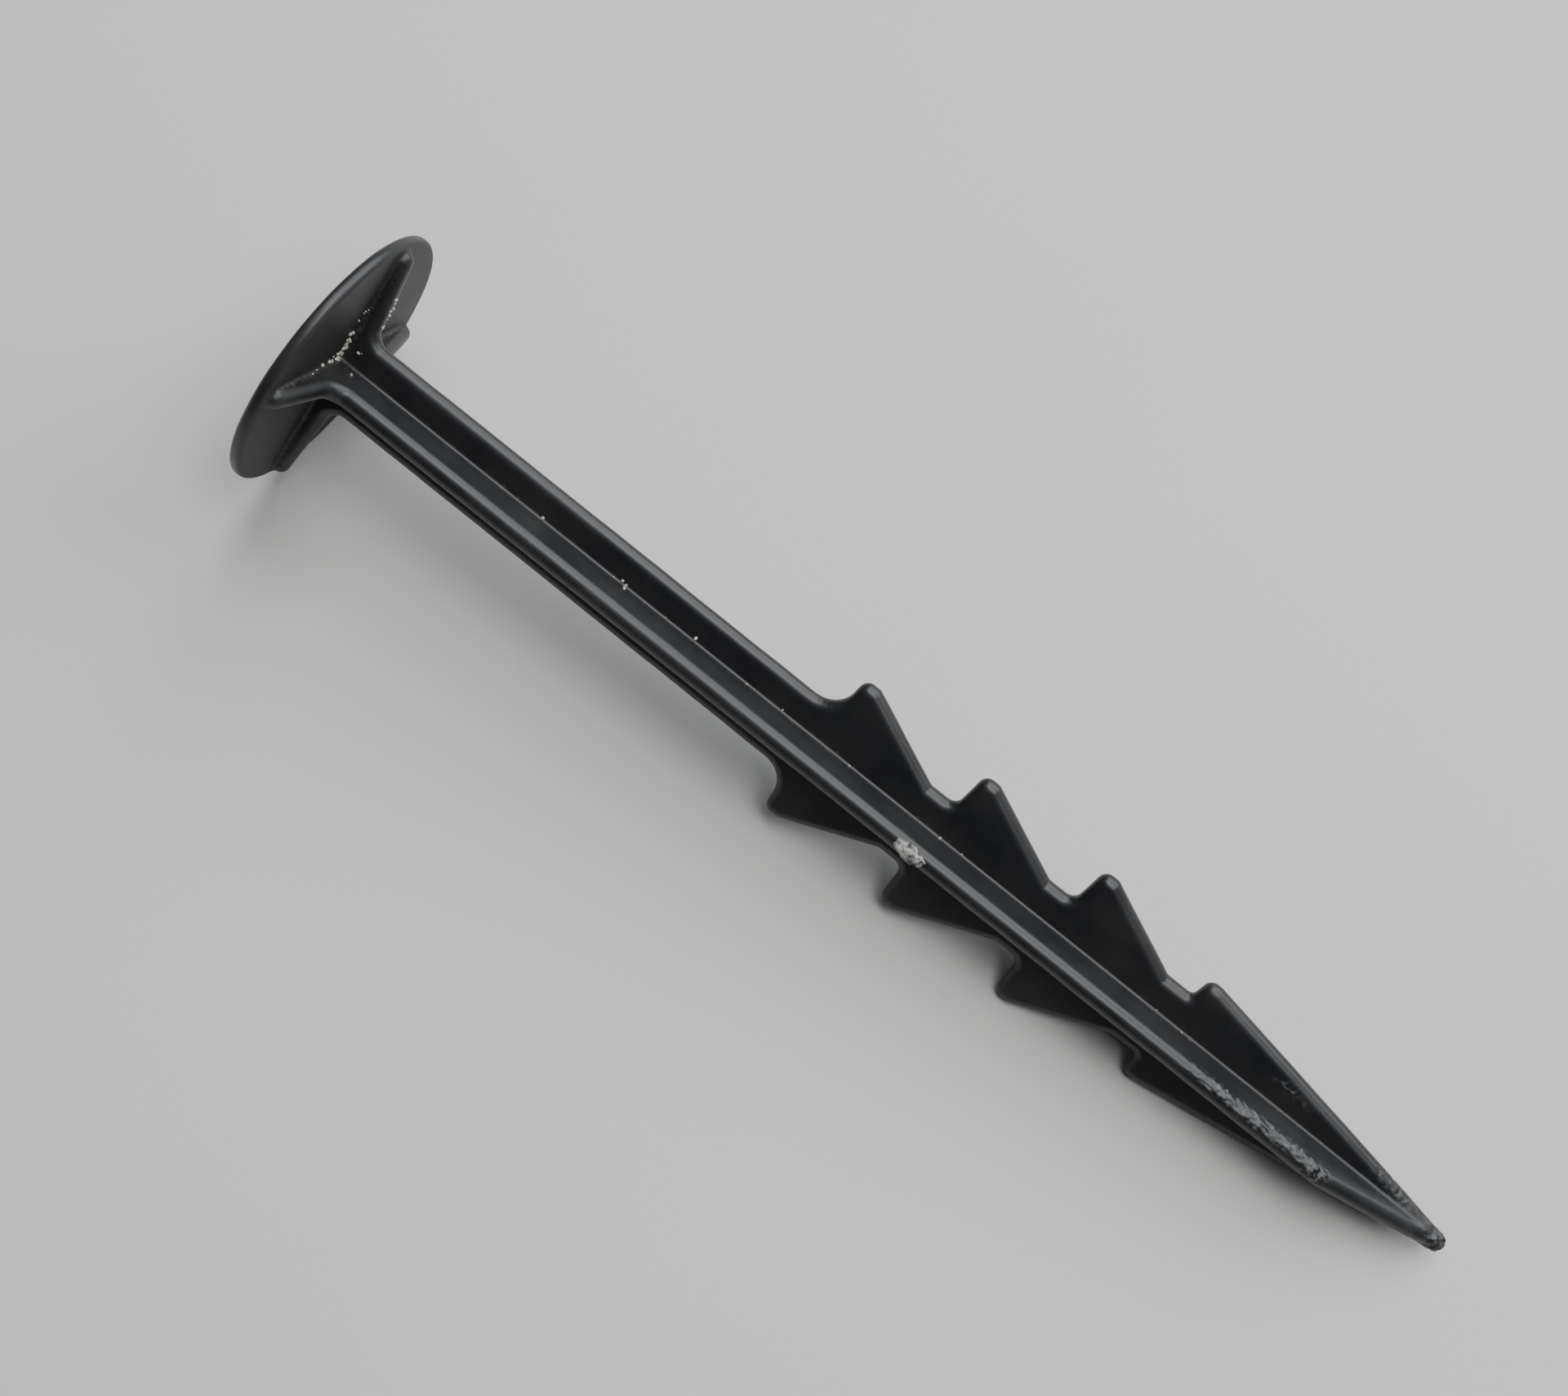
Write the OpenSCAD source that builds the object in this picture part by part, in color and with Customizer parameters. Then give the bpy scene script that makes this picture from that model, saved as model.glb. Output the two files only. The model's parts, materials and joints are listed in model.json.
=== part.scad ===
// Barbed plastic tent stake, one moulding, lying on the ground the way it comes to rest.
// Each node is one named region of the moulding. The regions meet face to face.
// Stake coordinates: Z runs from the outer face of the head to the tip,
// rib A points along +X, rib B along +Y, rib C along -X and rib D along -Y.

/* [Head] */
// Head disc diameter, mm
head_d = 42; // [30:0.5:60]
// Head disc thickness, mm
head_t = 2; // [1.5:0.1:5]
// Rounding radius of the head's rim, mm
rim_r = 0.85; // [0.3:0.05:1.5]

/* [Shaft] */
// Length over all, mm
stake_l = 200; // [150:1:300]
// Thickness of the ribs, mm
rib_w = 3; // [2:0.1:5]
// Height of ribs A and C above the shaft's centre line where they carry no barb, mm
rib_h = 6.2; // [4:0.1:10]
// Height of the plain cross ribs B and D above the shaft's centre line, mm
cross_h = 7.7; // [4:0.1:12]
// Where the plain ribs bend in towards the tip, mm
bend_z = 178.6; // [140:0.1:190]
// Radius of the blunt tip, mm
tip_r = 1.3; // [0.8:0.1:2]

/* [Gussets] */
// Height above the disc's outer face where a gusset has become plain rib, mm
gusset_top = 8.6; // [6:0.1:14]
// How far a gusset's corner stands out beyond the rib it braces, mm
gusset_knee_out = 0.7; // [0.3:0.1:3]
// Corner of a gusset, distance from the disc's outer face, mm
gusset_knee_z = 5.8; // [4:0.1:8]
// Outer end of a gusset, distance from the centre line, mm
gusset_end_r = 20.2; // [12:0.1:21]
// Height of a gusset's outer end above the disc's outer face, mm
gusset_end_z = 3.4; // [3:0.1:5]

/* [Barbs] */
// Back face of the first barb, distance from the disc's outer face, mm
barb_z = 87; // [60:0.5:100]
// Distance from one barb to the next, mm
barb_pitch = 21; // [15:0.1:30]
// Height of a full barb above the centre line, mm
barb_h = 12.9; // [8:0.1:16]
// Height of the last barb above the centre line, mm
last_barb_h = 10; // [7:0.1:14]
// Length of the slope behind a barb's back face, mm
barb_run = 15.2; // [8:0.1:19]
// How far the back face leans towards the tip, mm
barb_lean = 0.9; // [0:0.1:3]
// Smooth shaft before the first barb's node begins, mm
plain_l = 78; // [50:1:95]

/* [Gate mark] */
// Centre of the torn moulding gate on rib B, mm
gate_z = 106.7; // [80:0.1:140]
// Length of the torn gate, mm
gate_l = 5; // [2:0.1:8]

/* [Hidden] */

$fn = 96;
half_w = rib_w / 2;
round_steps = 10;                 // facets in the rounded edge of a rib
far = 60;                         // longer than any region it is cut from
end_round = 0.8;                  // bevel at a gusset's outer end
web_h = half_w + 1.9;             // the barbs sit on the webs at this height
barb_count = 4;
BLACK = [0.06, 0.06, 0.065];
DUSTY = [0.45, 0.44, 0.42];

// Height of the lowered taper from the last barb to the tip, at distance z.
last_z = barb_z + (barb_count - 1) * barb_pitch;
taper_start = last_z + 2;
function taper_h(z) = last_barb_h
    + (tip_r - last_barb_h) * (z - taper_start) / (stake_l - 1 - taper_start);

// The stake rests on the disc's rim, the third barb of rib C and the bend of rib D.
// reach(r, turn) is how far a rounded edge at height r reaches down
// when its rib stands turn degrees away from straight down.
function reach(r, turn) = (r - half_w) * cos(turn) + half_w;
function dip_on(z, r, turn) = atan((head_d / 2 - reach(r, turn)) / (z - head_t / 2));
third_barb_z = barb_z + 2 * barb_pitch + 2;
function dip_gap(turn) = dip_on(third_barb_z, barb_h, turn) - dip_on(bend_z, cross_h, 90 - turn);
function settle(lo, hi, n = 24) = n == 0 ? (lo + hi) / 2
    : dip_gap((lo + hi) / 2) > 0 ? settle(lo, (lo + hi) / 2, n - 1)
    : settle((lo + hi) / 2, hi, n - 1);
roll = settle(20, 80);            // rib C from straight down, degrees
dip = dip_on(bend_z, cross_h, 90 - roll);
rim_turn_r = head_d / 2 - rim_r;  // circle that the rim's rounding is centred on
rest_h = (head_t - rim_r) * sin(dip) + rim_turn_r * cos(dip) + rim_r;
head_x = rim_r * (cos(dip) - 1) - rim_turn_r * sin(dip);
tip_flat_r = tip_r - 0.6;
tip_x = stake_l * cos(dip) + tip_flat_r * sin(dip);

// From stake coordinates to the resting place: head to tip along +X, ground at Z = 0.
module lying()
    translate([-(head_x + tip_x) / 2, 0, rest_h])
        rotate([0, 90 + dip, 0])
            rotate([0, 0, 180 - roll])
                children();

// Turns rib A's plane into the plane of rib A, B, C or D (0 to 3).
module on_rib(i) rotate([0, 0, 90 * i]) children();

// Section of a rib: a plate with a fully rounded edge at x = 0, going inwards along +X.
module rib_section(depth)
    polygon(concat(
        [for (i = [0 : round_steps])
            let (a = 90 + 180 * i / round_steps)
            [half_w + half_w * cos(a), half_w * sin(a)]],
        [[depth, -half_w], [depth, half_w]]));

// A plate in the plane of rib A whose rounded edge runs from p to q.
// Points are [height, z]; the material is on the left of the way from p to q.
module edge_plate(p, q, depth, before = 0, after = 0) {
    way = q - p;
    a = atan2(way[1], way[0]);
    translate([p[0], 0, p[1]])
        rotate([0, -90 - a, 0])
            rotate([180, 0, 0])
                translate([0, 0, -before])
                    linear_extrude(norm(way) + before + after)
                        rib_section(depth);
}

// The part of rib A's plane between two heights and two distances.
module window(h0, h1, z0, z1)
    translate([h0, -rib_w, z0]) cube([h1 - h0, 2 * rib_w, z1 - z0]);

module head_disc() {
    edge = [for (side = [0, 1], i = [0 : 6])
        let (a = -90 + 90 * side + 15 * i)
        [head_d / 2 - rim_r + rim_r * cos(a),
         (side == 0 ? rim_r : head_t - rim_r) + rim_r * sin(a)]];
    color(BLACK) lying()
        rotate_extrude() polygon(concat([[0, 0]], edge, [[0, head_t]]));
}

// A brace from a rib of height h out along the disc, with a bevelled outer end.
module gusset(h) {
    foot = [gusset_end_r, head_t];
    heel = [gusset_end_r, gusset_end_z - end_round];
    toe = [gusset_end_r - end_round, gusset_end_z];
    knee = [h + gusset_knee_out, gusset_knee_z];
    intersection() {
        window(half_w, head_d / 2, head_t, gusset_top);
        union() {
            intersection() {
                edge_plate(foot, heel, far, far, far);
                edge_plate(heel, toe, far, far, far);
                edge_plate(toe, knee, far, far, far);
            }
            edge_plate(knee, [h, gusset_top], h, 0.3, 1);
        }
    }
}

// Plain rib of height h from the gusset to z = finish.
module plain_rib(h, finish)
    edge_plate([h, gusset_top], [h, finish], h - half_w);

module core()
    color(BLACK) lying()
        translate([-half_w, -half_w, head_t]) cube([rib_w, rib_w, bend_z - head_t]);

// Flat web that carries the barbs of rib A or C.
module web()
    translate([half_w, -half_w, plain_l]) cube([web_h - half_w, rib_w, bend_z - plain_l]);

// One barb of rib A with the short valley in front of it: n = 1 is nearest the head.
module barb(n) {
    back = barb_z + (n - 1) * barb_pitch;
    last = n == barb_count;
    start = n == 1 ? plain_l : back - barb_pitch + barb_run;
    finish = last ? bend_z : back + barb_run;
    h = last ? last_barb_h : barb_h;
    foot = [rib_h, back - 0.4];
    shoulder = [h - 1.2, back + barb_lean];
    peak = [h, back + 2];
    toe = last ? [taper_h(bend_z), bend_z] : [rib_h, finish];
    lead = n == 1 ? 5 : 1.8;      // the first barb has a longer, softer lead-in
    curve = [rib_h + lead * 0.3, back - lead * 0.28];
    intersection() {
        window(web_h, barb_h + 1, start, finish);
        union() {
            edge_plate([rib_h, start], [rib_h, back], far, 1, 1);
            edge_plate([rib_h, back - lead], curve, rib_w, 0.2, 0.6);
            edge_plate(curve, [rib_h + lead * 0.75, back + 0.1], rib_w, 0.2, 0.2);
            intersection() {
                edge_plate(foot, shoulder, far, far, far);
                edge_plate(shoulder, peak, far, far, far);
                edge_plate(peak, toe, far, far, far);
            }
        }
    }
}

// The four ribs taper together to the blunt tip; a turned envelope rounds the end.
module point()
    color(BLACK) lying()
        intersection() {
            union() for (i = [0 : 3])
                on_rib(i) intersection() {
                    window(-half_w, cross_h + 1, bend_z, stake_l);
                    edge_plate([i % 2 == 0 ? taper_h(bend_z) : cross_h, bend_z],
                               [tip_r, stake_l - 1], far, 4, 4);
                }
            rotate_extrude() polygon([
                [0, bend_z - 1], [cross_h + 2, bend_z - 1], [cross_h + 2, bend_z + 2],
                [tip_r + 1.1, stake_l - 3.4], [tip_r, stake_l - 0.7],
                [tip_flat_r, stake_l], [0, stake_l]]);
        }

// Ragged stub left where the moulding was torn off its runner, on rib B's edge.
module gate_mark()
    color(DUSTY) lying() on_rib(1)
        difference() {
            translate([cross_h - 0.35, -0.95, gate_z - gate_l / 2]) cube([0.95, 1.9, gate_l]);
            edge_plate([cross_h, gate_z - gate_l], [cross_h, gate_z + gate_l], 4);
        }

module gusset_a() color(BLACK) lying() on_rib(0) gusset(rib_h);
module gusset_b() color(BLACK) lying() on_rib(1) gusset(cross_h);
module gusset_c() color(BLACK) lying() on_rib(2) gusset(rib_h);
module gusset_d() color(BLACK) lying() on_rib(3) gusset(cross_h);
module rib_a() color(BLACK) lying() on_rib(0) plain_rib(rib_h, plain_l);
module rib_b() color(BLACK) lying() on_rib(1) plain_rib(cross_h, bend_z);
module rib_c() color(BLACK) lying() on_rib(2) plain_rib(rib_h, plain_l);
module rib_d() color(BLACK) lying() on_rib(3) plain_rib(cross_h, bend_z);
module web_a() color(BLACK) lying() on_rib(0) web();
module web_c() color(BLACK) lying() on_rib(2) web();
module barb_a1() color(BLACK) lying() on_rib(0) barb(1);
module barb_a2() color(BLACK) lying() on_rib(0) barb(2);
module barb_a3() color(BLACK) lying() on_rib(0) barb(3);
module barb_a4() color(BLACK) lying() on_rib(0) barb(4);
module barb_c1() color(BLACK) lying() on_rib(2) barb(1);
module barb_c2() color(BLACK) lying() on_rib(2) barb(2);
module barb_c3() color(BLACK) lying() on_rib(2) barb(3);
module barb_c4() color(BLACK) lying() on_rib(2) barb(4);

head_disc();
gusset_a();
gusset_b();
gusset_c();
gusset_d();
core();
rib_a();
rib_b();
rib_c();
rib_d();
web_a();
web_c();
barb_a1();
barb_a2();
barb_a3();
barb_a4();
barb_c1();
barb_c2();
barb_c3();
barb_c4();
point();
gate_mark();
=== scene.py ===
"""Barbed plastic tent stake: the moulding's skin, its torn gate, sand grains, floor, lights and camera.

The skin is built once as a signed distance field in the stake's own coordinates (millimetres):
Z runs from the outer face of the head to the tip, rib A points along +X and rib B along +Y,
rib C is opposite A and rib D opposite B. The closed skin is then cut into named pieces.
"""
import json
import math
import bmesh
import bpy
import numpy as np
from mathutils import Euler, Matrix, Vector


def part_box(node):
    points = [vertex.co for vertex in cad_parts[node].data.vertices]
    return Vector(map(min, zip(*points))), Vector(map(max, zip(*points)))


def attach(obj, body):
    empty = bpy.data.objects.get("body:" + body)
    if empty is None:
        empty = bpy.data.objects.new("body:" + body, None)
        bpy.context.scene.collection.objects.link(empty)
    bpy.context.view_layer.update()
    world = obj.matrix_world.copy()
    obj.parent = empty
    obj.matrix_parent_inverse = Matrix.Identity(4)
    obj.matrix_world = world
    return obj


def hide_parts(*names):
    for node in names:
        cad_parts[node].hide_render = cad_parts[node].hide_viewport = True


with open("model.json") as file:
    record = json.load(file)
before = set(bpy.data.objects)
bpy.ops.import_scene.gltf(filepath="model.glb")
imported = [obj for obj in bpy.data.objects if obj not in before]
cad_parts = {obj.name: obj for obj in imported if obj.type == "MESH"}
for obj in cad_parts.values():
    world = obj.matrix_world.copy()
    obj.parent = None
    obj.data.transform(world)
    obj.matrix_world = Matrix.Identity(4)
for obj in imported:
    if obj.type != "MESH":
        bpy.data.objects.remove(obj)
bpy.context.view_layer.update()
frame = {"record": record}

MM = 0.001

# ---------------------------------------------------------------- sizes, mm
HEAD_R = 21.0
HEAD_T = 2.0
RIM_R = 0.85
HALF_W = 1.5            # half the thickness of a rib: every rib edge is rounded this much
RIB_IN = 4.7            # height of the centre of the rounded edge of ribs A and C
CROSS_IN = 6.2          # the same for the plain cross ribs B and D
LENGTH = 200.0
BEND_Z = 178.6
BEND_R = 3.0
TIP_IN_Z = 198.5        # centre of the rounded tip
THIN_Z = 190.0          # from here the ribs grow thinner, by THIN_BY on each side over THIN_RUN
THIN_RUN = 9.0
THIN_BY = 0.22

GUSSET_TOP = 8.6        # the head's piece ends here
GUSSET_FOOT_Z = 2.25
GUSSET_OUT = 18.6
KNEE_OUT = 1.6          # how far the gusset's knee stands out from the rib
KNEE_Z = 3.4
CROSS_KNEE_Z = 4.1
KNEE_R = 3.5
RIB_START_RISE = 2.6    # from the knee to the straight rib
RIB_START_R = 2.5

PLAIN_END = 78.0
WEB_H = 3.4
BARB_Z = 88.4           # centre of the rounded edge along the first barb's back face
BARB_PITCH = 21.0
BARB_RUN = 14.8
BARB_IN = 11.4
BARB_TOP = (0.15, 0.95)             # the barb's flat top, measured from its back
LAST_BARB_IN = 8.45
LAST_BARB_TOP = (0.1, 0.7)
BARB_COUNT = 4
BARB_START = 102.2      # the first barb's piece ends here, and the second begins
VALLEY_IN = RIB_IN + 0.1
VALLEY_SET = 0.3        # the valley's corner lies this far before the barb's back
VALLEY_RADII = (5.6, 3.0, 3.0, 2.2)  # inner corner before each barb

GATE_Z = 106.7
GATE_GRID = 0.13
CORNER_BLEND = 0.55     # softness of the inner corners between ribs
HEAD_BLEND = 0.7
GRID = 0.36             # spacing of the lattice that the skin is drawn on
MARGIN = 0.9            # of the lattice around the moulding

# worn places, as distances along the stake from the head's outer face
RUB_START = 152.0
RUB_END = 180.0
BRUISE_Z = 177.2
SCRATCH_Z = 168.5
TAPER_START = 152.0
NICK_Z = 189.5
CHEW_Z = 195.5
EDGE_WEAR_Z = 183.0
TIP_WEAR_Z = 192.0


# ---------------------------------------------------------------- where the stake lies
def mount(name):
    """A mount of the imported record."""
    return next(m for m in frame["record"]["mounts"] if m["name"] == name)


def stake_matrix():
    """Stake coordinates in metres to the row frame: the head's outer face and the webs fix it."""
    origin = Vector(mount("strike_face")["pos_m"])
    along = -Vector(mount("strike_face")["axis"]).normalized()
    low, high = (Vector(corner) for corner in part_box("web_a"))
    rib_a = (low + high) / 2 - origin
    rib_a = (rib_a - along * rib_a.dot(along)).normalized()
    rib_b = along.cross(rib_a)
    turn = Matrix((rib_a, rib_b, along)).transposed().to_4x4()
    return Matrix.Translation(origin) @ turn


STAKE = stake_matrix()


# ---------------------------------------------------------------- outlines
def rounded(corners):
    """Corners (height, z, radius) as a closed outline, each corner with a radius turned into an arc."""
    arc_steps = 8
    points = []
    count = len(corners)
    for i, (r, z, radius) in enumerate(corners):
        here = np.array([r, z], float)
        if radius <= 0:
            points.append(here)
            continue
        back = np.array(corners[i - 1][:2], float) - here
        on = np.array(corners[(i + 1) % count][:2], float) - here
        back /= np.linalg.norm(back)
        on /= np.linalg.norm(on)
        half = math.acos(np.clip(back @ on, -1, 1)) / 2
        middle = (back + on) / np.linalg.norm(back + on)
        centre = here + middle * radius / math.sin(half)
        start = here + back * radius / math.tan(half) - centre
        end = here + on * radius / math.tan(half) - centre
        a0 = math.atan2(start[1], start[0])
        turn = (math.atan2(end[1], end[0]) - a0 + math.pi) % (2 * math.pi) - math.pi
        for step in range(arc_steps + 1):
            a = a0 + turn * step / arc_steps
            points.append(centre + radius * np.array([math.cos(a), math.sin(a)]))
    return np.array(points)


def gusset_corners(rib_in, knee_z):
    """The part of a rib's outline inside and beside the head."""
    return [(0, GUSSET_FOOT_Z, 0), (GUSSET_OUT, GUSSET_FOOT_Z, 0), (rib_in + KNEE_OUT, knee_z, KNEE_R),
            (rib_in, knee_z + RIB_START_RISE, RIB_START_R)]


def barbed_outline():
    """Line that the rounded edge of ribs A and C is centred on."""
    corners = gusset_corners(RIB_IN, KNEE_Z)
    for n, valley_r in enumerate(VALLEY_RADII):
        back = BARB_Z + n * BARB_PITCH
        last = n == BARB_COUNT - 1
        height = LAST_BARB_IN if last else BARB_IN
        corners.append((VALLEY_IN, back - VALLEY_SET, valley_r))
        corners += [(height, back + top, 0) for top in (LAST_BARB_TOP if last else BARB_TOP)]
        if not last:
            corners.append((VALLEY_IN, back + BARB_RUN, 0))
    return rounded(corners + [(0, TIP_IN_Z, 0)])


def plain_outline():
    """Line that the rounded edge of ribs B and D is centred on."""
    bend = (CROSS_IN, BEND_Z, BEND_R)
    return rounded(gusset_corners(CROSS_IN, CROSS_KNEE_Z) + [bend, (0, TIP_IN_Z, 0)])


def outline_distance(outline, r, z):
    """Signed distance from points to a closed outline, negative inside."""
    r, z = np.broadcast_arrays(r, z)
    best = np.full(r.shape, 1e9)
    inside = np.zeros(r.shape, bool)
    for (r0, z0), (r1, z1) in zip(outline, np.roll(outline, -1, 0)):
        dr, dz = r1 - r0, z1 - z0
        size = dr * dr + dz * dz
        if size < 1e-12:
            continue
        t = np.clip(((r - r0) * dr + (z - z0) * dz) / size, 0, 1)
        best = np.minimum(best, (r - r0 - t * dr) ** 2 + (z - z0 - t * dz) ** 2)
        if dz:
            crosses = (z0 > z) != (z1 > z)
            inside ^= crosses & (r < r0 + (z - z0) * dr / dz)
    return np.where(inside, -1, 1) * np.sqrt(best)


BARBED = barbed_outline()
PLAIN = plain_outline()


# ---------------------------------------------------------------- the solid as a distance field
def smooth_least(a, b, k):
    """Least of two distances with a rounded inner corner of about k."""
    h = np.maximum(k - np.abs(a - b), 0) / k
    return np.minimum(a, b) - h * h * k / 4


def rumple(x, y, z, size, seed, waves=14):
    """A smooth random field from about -1 to 1 with bumps of about the given size."""
    rng = np.random.default_rng(seed)
    ways = rng.normal(size=(waves, 3))
    ways *= (2 * np.pi / size) / np.linalg.norm(ways, axis=1, keepdims=True)
    ways *= rng.uniform(0.6, 1.4, (waves, 1))
    phases = rng.uniform(0, 2 * np.pi, waves)
    total = sum(np.sin(w[0] * x + w[1] * y + w[2] * z + p) for w, p in zip(ways, phases))
    return total / math.sqrt(waves / 2) / 1.6


def bump_at(value, centre, width):
    """1 at centre, falling to 0 over width."""
    return np.clip(1 - np.abs(value - centre) / width, 0, 1)


def plate(flat, across, half):
    """A flat outline thickened to a plate with fully rounded edges."""
    return np.sqrt(np.maximum(flat, 0) ** 2 + across ** 2) - half


def field(x, y, z, flat_barbed=None, flat_plain=None):
    """Signed distance to the moulding, mm."""
    if flat_barbed is None:
        flat_barbed = outline_distance(BARBED, np.abs(x), z)
        flat_plain = outline_distance(PLAIN, np.abs(y), z)
    half = HALF_W - THIN_BY * np.clip((z - THIN_Z) / THIN_RUN, 0, 1)
    ribs = smooth_least(plate(flat_barbed, y, half), plate(flat_plain, x, half), CORNER_BLEND)
    q_r = np.hypot(x, y) - (HEAD_R - RIM_R)
    q_z = np.abs(z - HEAD_T / 2) - (HEAD_T / 2 - RIM_R)
    head = np.hypot(np.maximum(q_r, 0), np.maximum(q_z, 0)) + np.minimum(np.maximum(q_r, q_z), 0) - RIM_R
    return smooth_least(ribs, head, HEAD_BLEND)


def rubbed_crest(x, y, z):
    """Rib B's crest on the side of rib A, rubbed from the last barb to the bend."""
    along = np.clip((z - RUB_START) / 8, 0, 1) * np.clip((RUB_END - z) / 3, 0, 1)
    return along * np.clip((y - CROSS_IN + 0.6) / 0.8, 0, 1) * np.clip((x + 0.1) / 0.8, 0, 1)


def scratched_face(x, y, z):
    """A patch of feathery scratches on rib A's face beside the crest of its long taper."""
    crest = LAST_BARB_IN * (TIP_IN_Z - z) / (TIP_IN_Z - TAPER_START)
    return bump_at(z, SCRATCH_Z, 4.6) * bump_at(x, crest - 0.5, 1.1) * np.clip((y - 0.9) / 0.4, 0, 1)


def wear(x, y, z):
    """How far the surface is worn or raised away from the moulded shape, mm."""
    tip = np.clip((z - CHEW_Z) / 3.5, 0, 1)
    chewed = tip * (0.16 * rumple(x, y, z, 1.5, 11) + 0.10 * rumple(x, y, z, 0.8, 12) - 0.06)
    near_b_edge = np.clip((y - CROSS_IN + 0.5) / 1.2, 0, 1)
    bruise = bump_at(z, BRUISE_Z, 2.6) * near_b_edge * (0.12 * rumple(x, y, z, 0.9, 13) - 0.03)
    bruise = bruise + 0.07 * rubbed_crest(x, y, z) * rumple(x, y, z * 0.45, 0.8, 16)
    bruise = bruise + 0.10 * scratched_face(x, y, z) * rumple(x, y, z * 0.5, 0.7, 17)
    near_a_edge = np.clip((np.abs(x) - 1.6) / 1.0, 0, 1)
    nicks = bump_at(z, NICK_Z, 5.5) * near_a_edge * 0.11 * np.minimum(rumple(x, y, z, 1.1, 14), 0)
    swim = 0.018 * rumple(x, y, z, 9.0, 15)
    return chewed + bruise + nicks + swim


def solid(x, y, z):
    """Signed distance to the worn moulding, mm."""
    return field(x, y, z) - wear(x, y, z)


# ---------------------------------------------------------------- drawing a skin on a lattice
def surface_net(values, origin, step):
    """Vertices and quads of the surface where a lattice of values crosses zero."""
    cells = tuple(n - 1 for n in values.shape)
    total = np.zeros(cells + (3,), np.float32)
    count = np.zeros(cells, np.float32)
    crossings = []
    for axis in range(3):
        u, v = [a for a in range(3) if a != axis]
        low = np.take(values, range(0, values.shape[axis] - 1), axis)
        high = np.take(values, range(1, values.shape[axis]), axis)
        cross = (low < 0) != (high < 0)
        place = np.where(cross, low / np.where(cross, low - high, 1), 0)
        crossings.append((axis, cross, low < 0))
        for du in (0, 1):
            for dv in (0, 1):
                part = [slice(None)] * 3
                part[u] = slice(du, cells[u] + du)
                part[v] = slice(dv, cells[v] + dv)
                hit = cross[tuple(part)]
                total[..., axis] += place[tuple(part)]
                total[..., u] += hit * du
                total[..., v] += hit * dv
                count += hit
    used = np.argwhere(count > 0)
    number = np.full(cells, -1, np.int64)
    number[tuple(used.T)] = np.arange(len(used))
    where = tuple(used.T)
    points = np.asarray(origin) + step * (used + total[where] / count[where][:, None])
    quads = []
    for axis, cross, starts_inside in crossings:
        u, v = (axis + 1) % 3, (axis + 2) % 3
        at = np.argwhere(cross)
        at = at[(at[:, u] > 0) & (at[:, v] > 0) & (at[:, u] < cells[u]) & (at[:, v] < cells[v])]
        corners = []
        for du, dv in ((1, 1), (0, 1), (0, 0), (1, 0)):
            cell = at.copy()
            cell[:, u] -= du
            cell[:, v] -= dv
            corners.append(number[tuple(cell.T)])
        quad = np.stack(corners, 1)
        flip = ~starts_inside[tuple(at.T)]
        quad[flip] = quad[flip][:, ::-1]
        quads.append(quad)
    return points, np.concatenate(quads)


def gradient(function, p, h=0.02):
    """Slope of a field at points."""
    slopes = []
    for axis in range(3):
        step = np.zeros(3)
        step[axis] = h
        slopes.append((function(*(p + step).T) - function(*(p - step).T)) / (2 * h))
    return np.stack(slopes, 1)


def settle(function, p, times=3):
    """Moves points onto the surface of a field."""
    for _ in range(times):
        slope = gradient(function, p)
        size = np.maximum((slope ** 2).sum(1), 0.2)
        step = function(*p.T) / size
        p = p - slope * np.clip(step, -0.3, 0.3)[:, None]
    return p


def moulding_skin():
    """The whole moulding as one closed skin: points in stake millimetres and quads."""
    low = np.array([-HEAD_R - MARGIN, -HEAD_R - MARGIN, -MARGIN])
    high = np.array([HEAD_R + MARGIN, HEAD_R + MARGIN, LENGTH + MARGIN])
    x, y, z = (np.arange(a, b, GRID) for a, b in zip(low, high))
    flat_barbed = outline_distance(BARBED, np.abs(x)[:, None], z[None, :])[:, None, :]
    flat_plain = outline_distance(PLAIN, np.abs(y)[:, None], z[None, :])[None, :, :]
    lattice = field(x[:, None, None], y[None, :, None], z[None, None, :], flat_barbed, flat_plain)
    points, quads = surface_net(lattice.astype(np.float32), low, GRID)
    return settle(solid, points), quads


# ---------------------------------------------------------------- pieces
def add_object(name, mesh):
    """Puts a mesh into the scene."""
    piece = bpy.data.objects.new(name, mesh)
    bpy.context.scene.collection.objects.link(piece)
    return piece


def cut_piece(name, skin, planes):
    """The part of the closed skin on the kept side of each plane, closed by flat faces."""
    part = skin.copy()
    for point, normal in planes:
        everything = part.verts[:] + part.edges[:] + part.faces[:]
        cut = bmesh.ops.bisect_plane(part, geom=everything, plane_co=point, plane_no=normal,
                                     clear_outer=True, dist=1e-5)
        rim = [e for e in cut["geom_cut"] if isinstance(e, bmesh.types.BMEdge)]
        bmesh.ops.holes_fill(part, edges=rim, sides=0)
    mesh = bpy.data.meshes.new(name)
    part.to_mesh(mesh)
    part.free()
    return add_object(name, mesh)


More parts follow.
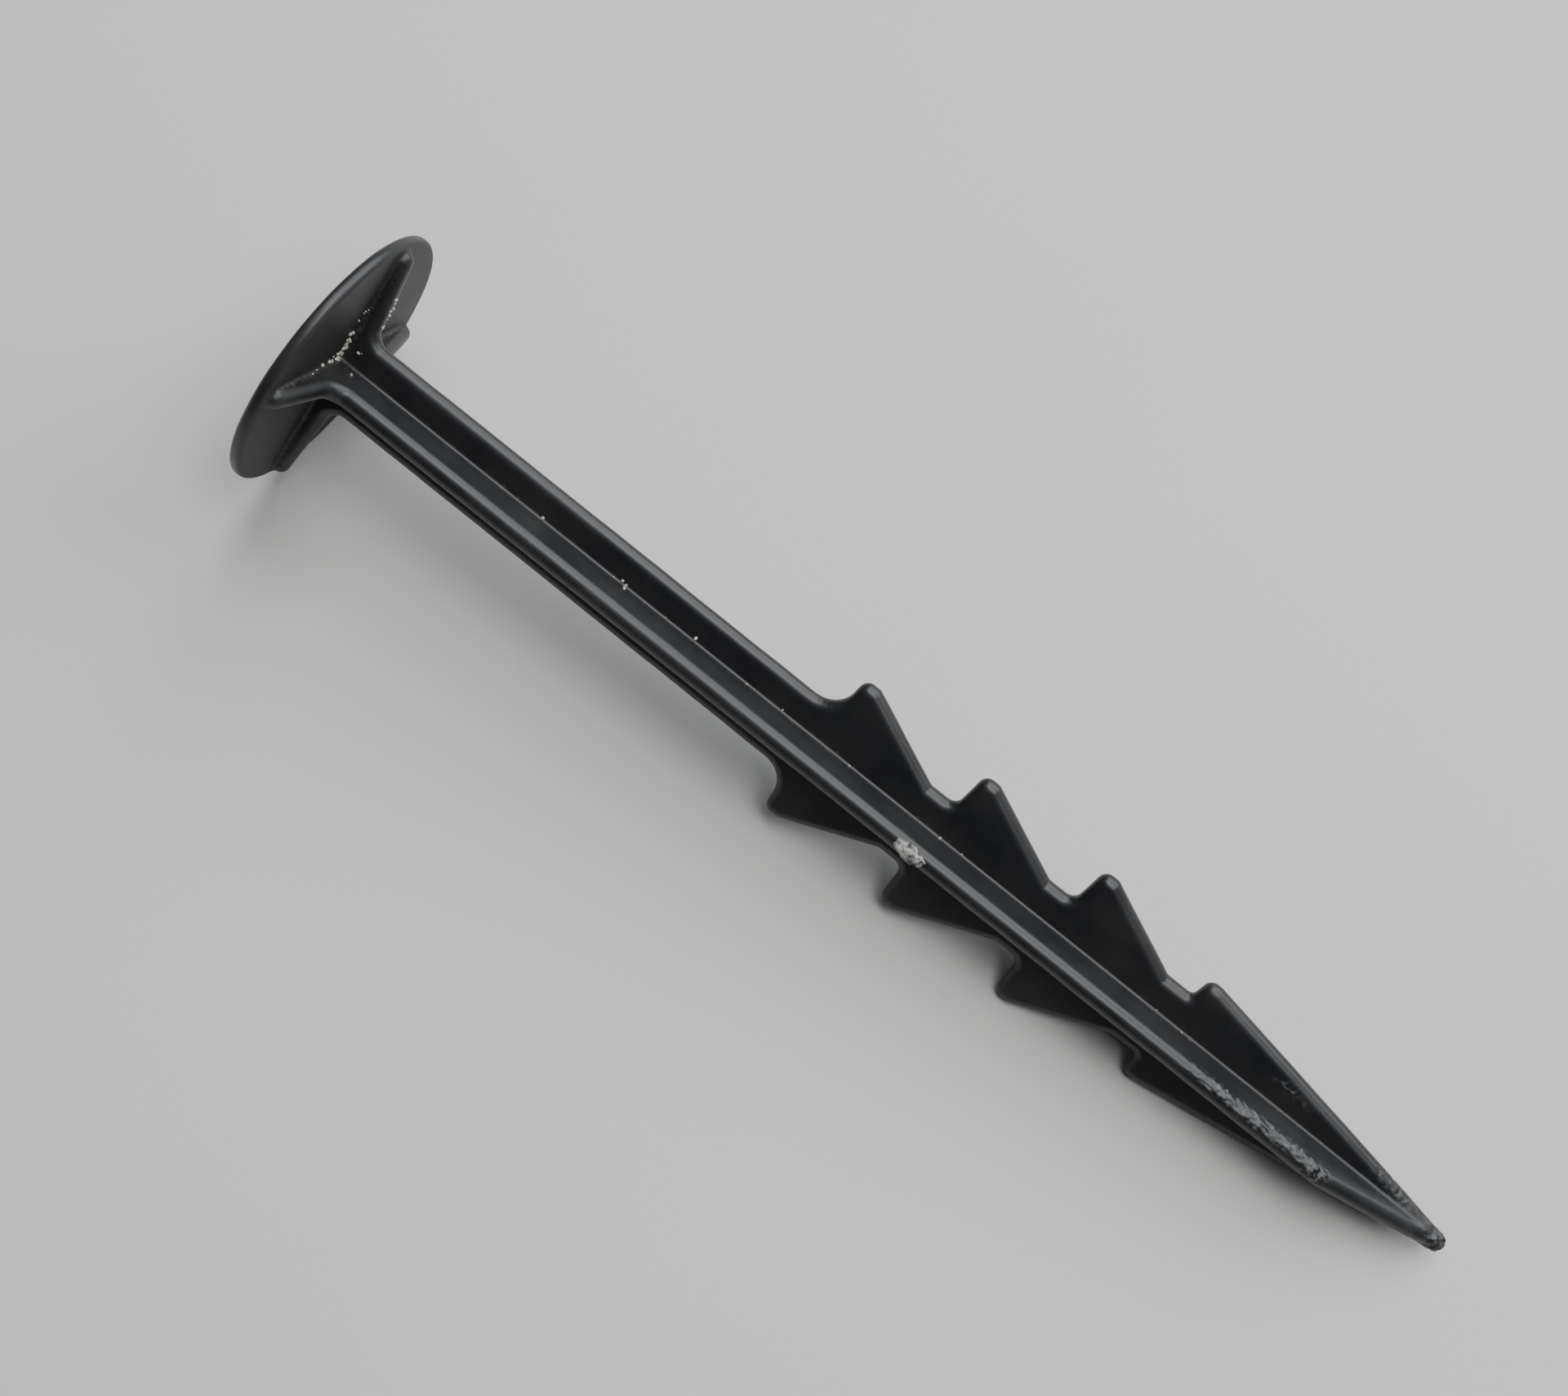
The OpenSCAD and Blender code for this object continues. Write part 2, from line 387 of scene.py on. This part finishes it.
def finish_skin(piece):
    """Smooth normals from the field on the skin, flat ones on the cut faces, wear masks, placing."""
    mesh = piece.data
    count = len(mesh.vertices)
    points = np.empty(count * 3)
    mesh.vertices.foreach_get("co", points)
    points = points.reshape(-1, 3)
    normals = gradient(solid, points)
    normals /= np.maximum(np.linalg.norm(normals, axis=1, keepdims=True), 1e-9)
    write_masks(mesh, points)
    turn = np.array(STAKE.to_3x3())
    moved = points * MM @ turn.T + np.array(STAKE.translation)
    mesh.vertices.foreach_set("co", moved.ravel())
    mesh.update()
    corner_vertex = np.empty(len(mesh.loops), np.int32)
    mesh.loops.foreach_get("vertex_index", corner_vertex)
    corner_normals = (normals @ turn.T)[corner_vertex]
    for polygon in mesh.polygons:
        polygon.use_smooth = True
    for polygon in cap_faces(mesh):
        corner_normals[polygon.loop_start:polygon.loop_start + polygon.loop_total] = polygon.normal
    mesh.normals_split_custom_set(corner_normals.tolist())


def cap_faces(mesh):
    """The big flat faces that close the cuts, which have more corners than any face of the skin."""
    most_skin_corners = 8
    return [p for p in mesh.polygons if p.loop_total > most_skin_corners]


def write_masks(mesh, p):
    """Marks inner corners, the head's shaft side and worn places, 0 to 1 on each vertex."""
    x, y, z = p.T
    soft = 0.9
    outside_core = np.hypot(np.maximum(np.abs(x) - HALF_W, 0), np.maximum(np.abs(y) - HALF_W, 0))
    inner = np.clip(1 - outside_core / soft, 0, 1)
    root = np.clip(1 - np.abs(z - HEAD_T - 0.35) / soft, 0, 1)
    beside = np.clip(1 - (np.minimum(np.abs(x), np.abs(y)) - HALF_W) / soft, 0, 1)
    within_gussets = np.hypot(x, y) < GUSSET_OUT + soft
    masks = {
        "corner": inner * (z > HEAD_T),
        "root": root * beside * within_gussets,
        "head_face": np.clip(1.5 - np.abs(z - HEAD_T) / 0.4, 0, 1),
        "scuff": scuff_mask(x, y, z),
    }
    for name, values in masks.items():
        layer = mesh.attributes.new(name, "FLOAT", "POINT")
        layer.data.foreach_set("value", values.astype(np.float32))


def scuff_mask(x, y, z):
    """Where driving and pulling have rubbed the stake: rib B near its bend, the edges near the tip."""
    b_edge = rubbed_crest(x, y, z)
    bend = bump_at(z, BRUISE_Z, 2.2) * np.clip((y - CROSS_IN) / 0.8, 0, 1) * 1.6
    a_edge = np.clip((np.abs(x) - 1.2) / 1.2, 0, 1) * np.clip((z - EDGE_WEAR_Z) / 6, 0, 1)
    tip = np.clip((z - TIP_WEAR_Z) / 6, 0, 1)
    face = 1.3 * scratched_face(x, y, z)
    return np.clip(np.maximum.reduce([b_edge, bend, face, a_edge * 0.6, tip * 0.8]), 0, 1)


UP_Z = (0, 0, 1)
DOWN_Z = (0, 0, -1)


def between(z0, z1):
    """Planes that keep the stake from z0 to z1."""
    return [((0, 0, z0), DOWN_Z), ((0, 0, z1), UP_Z)]


def inside_webs():
    """Planes that keep what lies between the outer edges of the two webs."""
    return [((WEB_H, 0, 0), (1, 0, 0)), ((-WEB_H, 0, 0), (-1, 0, 0))]


def beyond_web(side):
    """Plane that keeps what lies beyond one web: side is 1 for rib A and -1 for rib C."""
    return [((side * WEB_H, 0, 0), (-side, 0, 0))]


def build_moulding():
    """Cuts the skin into its named pieces, each a closed mesh that stands for its CAD nodes."""
    points, quads = moulding_skin()
    mesh = bpy.data.meshes.new("moulding")
    mesh.from_pydata(points.tolist(), [], quads.tolist())
    skin = bmesh.new()
    skin.from_mesh(mesh)
    bpy.data.meshes.remove(mesh)
    plan = [
        ("head", [((0, 0, GUSSET_TOP), UP_Z)],
         ["head_disc", "gusset_a", "gusset_b", "gusset_c", "gusset_d"]),
        ("upper_shaft", between(GUSSET_TOP, PLAIN_END), ["rib_a", "rib_c"]),
        ("lower_shaft", between(PLAIN_END, BEND_Z) + inside_webs(),
         ["core", "rib_b", "rib_d", "web_a", "web_c"]),
        ("point_skin", [((0, 0, BEND_Z), DOWN_Z)], ["point"]),
    ]
    for rib, side in (("a", 1), ("c", -1)):
        for n in range(BARB_COUNT):
            start = PLAIN_END if n == 0 else BARB_START + (n - 1) * BARB_PITCH
            end = BEND_Z if n == BARB_COUNT - 1 else BARB_START + n * BARB_PITCH
            node = f"barb_{rib}{n + 1}"
            plan.append((f"{node}_skin", between(start, end) + beyond_web(side), [node]))
    pieces = []
    for name, planes, nodes in plan:
        piece = cut_piece(name, skin, planes)
        finish_skin(piece)
        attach(piece, "root")
        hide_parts(*nodes)
        pieces.append(piece)
    skin.free()
    return pieces


# Lumps of the gate stub, mm: x and y from the stake's axis, z from the gate's middle, radius
GATE_LUMPS = [(0.1, 7.3, -1.7, 0.95), (0.3, 7.6, -0.5, 1.05), (-0.2, 7.5, 0.7, 1.0),
              (0.1, 7.4, 1.7, 0.7), (-0.8, 7.1, -0.2, 0.8)]


def gate_solid(x, y, z):
    """Signed distance to the torn gate stub: a few torn lumps on rib B's edge."""
    flatten_y, flatten_z = 1.15, 0.8
    best = None
    for lx, ly, lz, size in GATE_LUMPS:
        dx, dy, dz = x - lx, (y - ly) * flatten_y, (z - GATE_Z - lz) * flatten_z
        d = np.sqrt(dx ** 2 + dy ** 2 + dz ** 2) - size
        best = d if best is None else smooth_least(best, d, 0.5)
    torn = 0.18 * rumple(x, y, z, 1.4, 21) + 0.05 * rumple(x, y, z, 0.8, 22)
    return best - torn


def build_gate():
    """The ragged stub where the moulding was torn off its runner."""
    low = np.array([-3.0, 5.0, GATE_Z - 4.5])
    high = np.array([3.0, 10.0, GATE_Z + 4.5])
    x, y, z = (np.arange(a, b, GATE_GRID) for a, b in zip(low, high))
    lattice = gate_solid(x[:, None, None], y[None, :, None], z[None, None, :])
    points, quads = surface_net(lattice.astype(np.float32), low, GATE_GRID)
    mesh = bpy.data.meshes.new("torn_gate")
    mesh.from_pydata([tuple(p) for p in points], [], quads.tolist())
    for polygon in mesh.polygons:
        polygon.use_smooth = True
    mesh.transform(STAKE @ Matrix.Scale(MM, 4))
    piece = add_object("torn_gate", mesh)
    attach(piece, "root")
    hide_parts("gate_mark")
    return piece


# Patches of sand: middle and spread in stake mm, number of grains
GRAIN_PATCHES = [
    ((3.9, 2.0, 2.2), (1.3, 0.35, 0.2), 44),
    ((2.0, 2.6, 2.2), (0.5, 0.9, 0.15), 16),
    ((9.0, 1.9, 2.2), (1.6, 0.4, 0.15), 5),
    ((11.0, -0.7, 4.4), (2.4, 0.7, 0.4), 22),
    ((16.0, -2.0, 2.4), (1.5, 0.6, 0.2), 5),
    ((4.0, 1.6, 4.8), (0.3, 0.2, 0.4), 2),
    ((2.0, 3.4, 5.4), (0.1, 0.1, 0.1), 1),
    ((1.9, 9.5, 2.4), (0.2, 1.6, 0.1), 3),
    ((1.9, 1.9, 53.0), (0.1, 0.2, 0.7), 4),
    ((1.9, 1.9, 90.0), (0.1, 0.1, 45.0), 12),
]
GRAIN_SEED = 31
GRAIN_SIZE = 0.13           # radius of the smallest, mm
GRAIN_SIZE_RANGE = 0.24
GRAIN_FACETS = 5
ON_SKIN = 0.05              # grains that don't come this close to the skin are left out


def chipped(co, facets, reach):
    """A point pushed back onto each facet that it lies beyond."""
    for facet in facets:
        over = co.dot(facet) - reach
        if over > 0:
            co = co - facet * over
    return co


def build_grains():
    """Dry sand caught in the corners: small broken grains, each a closed lump sunk a little in."""
    rng = np.random.default_rng(GRAIN_SEED)
    grains = bmesh.new()
    for centre, spread, count in GRAIN_PATCHES:
        places = settle(solid, np.array(centre) + rng.normal(size=(count, 3)) * spread, times=8)
        for place in places[np.abs(solid(*places.T)) < ON_SKIN]:
            size = GRAIN_SIZE + GRAIN_SIZE_RANGE * rng.random() ** 2
            turn = Euler(rng.uniform(0, 6.28, 3)).to_matrix()
            grain = bmesh.ops.create_icosphere(grains, subdivisions=2, radius=size)["verts"]
            stretch = Vector(rng.uniform(0.75, 1.3, 3))
            facets = rng.normal(size=(GRAIN_FACETS, 3))
            facets /= np.linalg.norm(facets, axis=1, keepdims=True)
            facets = [Vector(facet) for facet in facets]
            for vert in grain:
                vert.co = turn @ (chipped(vert.co, facets, 0.72 * size) * stretch) + Vector(place)
    mesh = bpy.data.meshes.new("sand_grains")
    grains.to_mesh(mesh)
    grains.free()
    mesh.transform(STAKE @ Matrix.Scale(MM, 4))
    piece = add_object("sand_grains", mesh)
    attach(piece, "root")
    return piece


# ---------------------------------------------------------------- materials
BLACK_DEEP = (0.0105, 0.0108, 0.0118, 1)
BLACK_PALE = (0.021, 0.021, 0.0215, 1)
DUST = (0.30, 0.28, 0.23, 1)
RUBBED = (0.20, 0.20, 0.20, 1)
TORN_DARK = (0.035, 0.035, 0.036, 1)
TORN_WHITE = (0.42, 0.41, 0.38, 1)
SAND_DARK = (0.30, 0.27, 0.20, 1)
SAND_PALE = (0.62, 0.60, 0.52, 1)
FLOOR_DARK = (0.54, 0.53, 0.51, 1)
FLOOR_PALE = (0.58, 0.57, 0.55, 1)


def material(name):
    """A new node material with its Principled shader."""
    mat = bpy.data.materials.new(name)
    mat.use_nodes = True
    nodes = mat.node_tree.nodes
    return mat, nodes, mat.node_tree.links, nodes["Principled BSDF"]


def noise(nodes, links, coords, scale, detail=4.0, roughness=0.55, stretch=None):
    """A noise pattern in the row frame; scale is in bumps per metre."""
    source = coords
    if stretch:
        mapping = nodes.new("ShaderNodeMapping")
        mapping.inputs["Scale"].default_value = stretch
        mapping.inputs["Rotation"].default_value = STAKE.to_3x3().inverted().to_euler()
        links.new(coords, mapping.inputs["Vector"])
        source = mapping.outputs["Vector"]
    node = nodes.new("ShaderNodeTexNoise")
    node.inputs["Scale"].default_value = scale
    node.inputs["Detail"].default_value = detail
    node.inputs["Roughness"].default_value = roughness
    links.new(source, node.inputs["Vector"])
    return node.outputs["Fac"]


def ramp(nodes, links, value, low, high, out_low=0.0, out_high=1.0):
    """Maps value from low..high to out_low..out_high, clamped."""
    node = nodes.new("ShaderNodeMapRange")
    node.inputs["From Min"].default_value = low
    node.inputs["From Max"].default_value = high
    node.inputs["To Min"].default_value = out_low
    node.inputs["To Max"].default_value = out_high
    links.new(value, node.inputs["Value"])
    return node.outputs["Result"]


def maths(nodes, links, kind, a, b):
    """A Math node; a and b are sockets or numbers."""
    node = nodes.new("ShaderNodeMath")
    node.operation = kind
    node.use_clamp = kind in ("ADD", "MULTIPLY")
    for socket, value in zip(node.inputs, (a, b)):
        if isinstance(value, (int, float)):
            socket.default_value = value
        else:
            links.new(value, socket)
    return node.outputs["Value"]


def mix(nodes, links, factor, a, b):
    """A colour mix; a and b are sockets or colours."""
    node = nodes.new("ShaderNodeMix")
    node.data_type = "RGBA"
    links.new(factor, node.inputs["Factor"])
    for socket, value in ((node.inputs[6], a), (node.inputs[7], b)):
        if isinstance(value, tuple):
            socket.default_value = value
        else:
            links.new(value, socket)
    return node.outputs[2]


def add_bump(nodes, links, shader, height, strength, distance):
    """Bump of the given height pattern; distance is in metres."""
    bump = nodes.new("ShaderNodeBump")
    bump.inputs["Strength"].default_value = strength
    bump.inputs["Distance"].default_value = distance
    links.new(height, bump.inputs["Height"])
    links.new(bump.outputs["Normal"], shader.inputs["Normal"])


def attribute(nodes, name):
    """One of the wear masks."""
    node = nodes.new("ShaderNodeAttribute")
    node.attribute_name = name
    return node.outputs["Fac"]


def black_plastic():
    """Satin moulded black plastic, dusty in its corners and rubbed grey where it has been driven."""
    mat, nodes, links, shader = material("black plastic")
    coords = nodes.new("ShaderNodeTexCoord").outputs["Object"]
    cloudy = noise(nodes, links, coords, 90, 5, 0.6)
    grain = noise(nodes, links, coords, 2600, 3, 0.6)
    speckle = noise(nodes, links, coords, 1500, 2, 0.5)
    streaks = noise(nodes, links, coords, 1200, 3, 0.55, stretch=(1.0, 1.0, 0.06))
    corner = attribute(nodes, "corner")
    root = attribute(nodes, "root")
    scuff = attribute(nodes, "scuff")
    head_face = attribute(nodes, "head_face")

    base = mix(nodes, links, ramp(nodes, links, cloudy, 0.35, 0.7), BLACK_DEEP, BLACK_PALE)
    dusty = maths(nodes, links, "MULTIPLY", ramp(nodes, links, speckle, 0.60, 0.70), corner)
    dusty = maths(nodes, links, "MULTIPLY", dusty, ramp(nodes, links, cloudy, 0.42, 0.62))
    caked = maths(nodes, links, "MULTIPLY", ramp(nodes, links, speckle, 0.50, 0.64), root)
    dirt = maths(nodes, links, "ADD", maths(nodes, links, "MULTIPLY", dusty, 0.28),
                 maths(nodes, links, "MULTIPLY", caked, 0.14))
    base = mix(nodes, links, dirt, base, DUST)
    rubbed = maths(nodes, links, "MULTIPLY", scuff, ramp(nodes, links, streaks, 0.5, 0.68))
    base = mix(nodes, links, maths(nodes, links, "MULTIPLY", rubbed, 0.45), base, RUBBED)
    links.new(base, shader.inputs["Base Color"])

    rough = ramp(nodes, links, cloudy, 0.3, 0.75, 0.34, 0.44)
    rough = maths(nodes, links, "ADD", rough, maths(nodes, links, "MULTIPLY", dirt, 0.4))
    rough = maths(nodes, links, "ADD", rough, maths(nodes, links, "MULTIPLY", rubbed, 0.12))
    rough = maths(nodes, links, "ADD", rough, maths(nodes, links, "MULTIPLY", head_face, 0.16))
    links.new(rough, shader.inputs["Roughness"])
    shader.inputs["IOR"].default_value = 1.5

    height = maths(nodes, links, "ADD", maths(nodes, links, "MULTIPLY", grain, 0.5),
                   maths(nodes, links, "MULTIPLY", rubbed, 0.5))
    add_bump(nodes, links, shader, height, 0.25, 0.00006)
    return mat


def torn_plastic():
    """Stress-whitened torn plastic."""
    mat, nodes, links, shader = material("torn plastic")
    coords = nodes.new("ShaderNodeTexCoord").outputs["Object"]
    patches = noise(nodes, links, coords, 900, 5, 0.65)
    fine = noise(nodes, links, coords, 4200, 3, 0.6)
    base = mix(nodes, links, ramp(nodes, links, patches, 0.38, 0.62), TORN_DARK, TORN_WHITE)
    links.new(base, shader.inputs["Base Color"])
    links.new(ramp(nodes, links, fine, 0.3, 0.7, 0.5, 0.8), shader.inputs["Roughness"])
    add_bump(nodes, links, shader, fine, 0.5, 0.0001)
    return mat


def dry_sand():
    """Pale yellow-grey sand, different from grain to grain."""
    mat, nodes, links, shader = material("dry sand")
    coords = nodes.new("ShaderNodeTexCoord").outputs["Object"]
    grain = noise(nodes, links, coords, 1400, 2, 0.5)
    fine = noise(nodes, links, coords, 9000, 2, 0.5)
    base = mix(nodes, links, ramp(nodes, links, grain, 0.38, 0.62), SAND_DARK, SAND_PALE)
    links.new(base, shader.inputs["Base Color"])
    links.new(ramp(nodes, links, fine, 0.3, 0.7, 0.55, 0.85), shader.inputs["Roughness"])
    add_bump(nodes, links, shader, fine, 0.4, 0.00004)
    return mat


def pale_floor_material():
    """Plain pale floor."""
    mat, nodes, links, shader = material("pale floor")
    coords = nodes.new("ShaderNodeTexCoord").outputs["Object"]
    soft = noise(nodes, links, coords, 6, 2, 0.5)
    base = mix(nodes, links, soft, FLOOR_DARK, FLOOR_PALE)
    links.new(base, shader.inputs["Base Color"])
    shader.inputs["Roughness"].default_value = 0.75
    return mat


# ---------------------------------------------------------------- studio, metres
FLOOR_REACH = 3.0
LIT_POINT = (0, 0, 0.01)


def build_floor():
    """A large pale floor under the stake."""
    mesh = bpy.data.meshes.new("floor")
    corners = [(-FLOOR_REACH, -FLOOR_REACH, 0), (FLOOR_REACH, -FLOOR_REACH, 0),
               (FLOOR_REACH, FLOOR_REACH, 0), (-FLOOR_REACH, FLOOR_REACH, 0)]
    mesh.from_pydata(corners, [], [(0, 1, 2, 3)])
    mesh.materials.append(pale_floor_material())
    add_object("floor", mesh)


def soft_box(name, place, width, height, power, colour):
    """A rectangular area light facing the stake."""
    light = bpy.data.lights.new(name, "AREA")
    light.shape = "RECTANGLE"
    light.size = width
    light.size_y = height
    light.energy = power
    light.color = colour
    lamp = bpy.data.objects.new(name, light)
    bpy.context.scene.collection.objects.link(lamp)
    lamp.location = place
    lamp.rotation_euler = (Vector(LIT_POINT) - Vector(place)).to_track_quat("-Z", "Y").to_euler()


def build_lights():
    """Soft daylight: a wide box high behind the stake, another overhead, faint fill from all around."""
    soft_box("window", place=(0.20, 0.95, 0.80), width=1.5, height=0.95, power=19.0,
             colour=(0.94, 0.975, 1.0))
    soft_box("overhead", place=(0.08, 0.16, 1.10), width=1.3, height=0.50, power=14.0,
             colour=(0.985, 0.99, 1.0))
    world = bpy.data.worlds.new("studio")
    world.use_nodes = True
    background = world.node_tree.nodes["Background"]
    background.inputs["Color"].default_value = (0.80, 0.86, 0.95, 1)
    background.inputs["Strength"].default_value = 0.10
    bpy.context.scene.world = world


CAMERA_AIM = (-0.01955, 0.00386, 0.010)
CAMERA_AZIMUTH = 14.37      # degrees; 0 looks along +Y
CAMERA_ELEVATION = 70.84
CAMERA_ROLL = -23.53
CAMERA_DISTANCE = 0.32502
CAMERA_LENS = 52.5          # mm on a 36 mm sensor


def build_camera():
    """The camera at the photographed viewing angle."""
    data = bpy.data.cameras.new("camera")
    data.lens = CAMERA_LENS
    data.sensor_width = 36.0
    data.clip_start = 0.01
    data.clip_end = 50
    camera = bpy.data.objects.new("camera", data)
    bpy.context.scene.collection.objects.link(camera)
    turn = (Euler((0, 0, math.radians(CAMERA_AZIMUTH))).to_matrix()
            @ Euler((math.radians(90 - CAMERA_ELEVATION), 0, 0)).to_matrix()
            @ Euler((0, 0, math.radians(-CAMERA_ROLL))).to_matrix())
    place = Vector(CAMERA_AIM) + turn @ Vector((0, 0, CAMERA_DISTANCE))
    camera.matrix_world = Matrix.Translation(place) @ turn.to_4x4()
    bpy.context.scene.camera = camera


# ---------------------------------------------------------------- putting it together
build_camera()
BLACK = black_plastic()
for part in build_moulding():
    part.data.materials.append(BLACK)
build_gate().data.materials.append(torn_plastic())
build_grains().data.materials.append(dry_sand())
build_floor()
build_lights()
